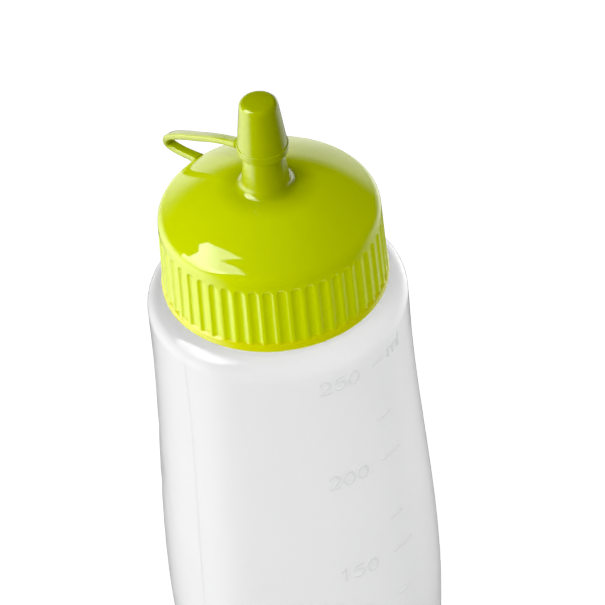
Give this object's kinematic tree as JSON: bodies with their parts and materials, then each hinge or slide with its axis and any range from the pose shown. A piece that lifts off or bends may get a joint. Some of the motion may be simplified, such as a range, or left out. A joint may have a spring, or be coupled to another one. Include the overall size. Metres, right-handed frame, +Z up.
{
  "type": "squeeze sauce bottle",
  "caption": "Translucent squeeze bottle for sauces, with a ribbed screw closure, a tapered spout, and a push-on spout cap on a strap.",
  "frame": {"origin": "middle of the base, on the surface that the bottle stands on", "axes": "+Z up along the bottle's axis; the camera of the picture looks along +Y and down, with +X to its right; the strap lies towards -X and +Y"},
  "size_m": [0.0556, 0.0556, 0.1722],
  "materials": {
    "bottle_body": "milky translucent polyethylene, satin",
    "closure": "opaque lime green polyethylene, glossy",
    "seal": "soft off-white elastomer, matt"
  },
  "bodies": {
    "bottle": {"bottle": "bottle_body"},
    "seal": {"sealing_washer": "seal"},
    "closure": {"screw_closure": "closure", "tether_strap": "closure"},
    "cap": {"spout_cap": "closure"}
  },
  "joints": [
    {"name": "closure_lift", "type": "slide", "parent": "bottle", "child": "seal", "axis": [0, 0, 1], "range_m": [0, 0.01471]},
    {"name": "closure_turn", "type": "hinge", "parent": "seal", "child": "closure", "pos_m": [0, 0, 0.1434], "axis": [0, 0, 1], "range_deg": [0, 1260]},
    {"name": "spout_cap_pull", "type": "slide", "parent": "closure", "child": "cap", "axis": [0, 0, 1], "range_m": [0, 0.014], "deforming": ["tether_strap"]}
  ],
  "couplings": [
    {"joint": "closure_lift", "follows": "closure_turn", "m_per_rad": 0.00066845}
  ]
}
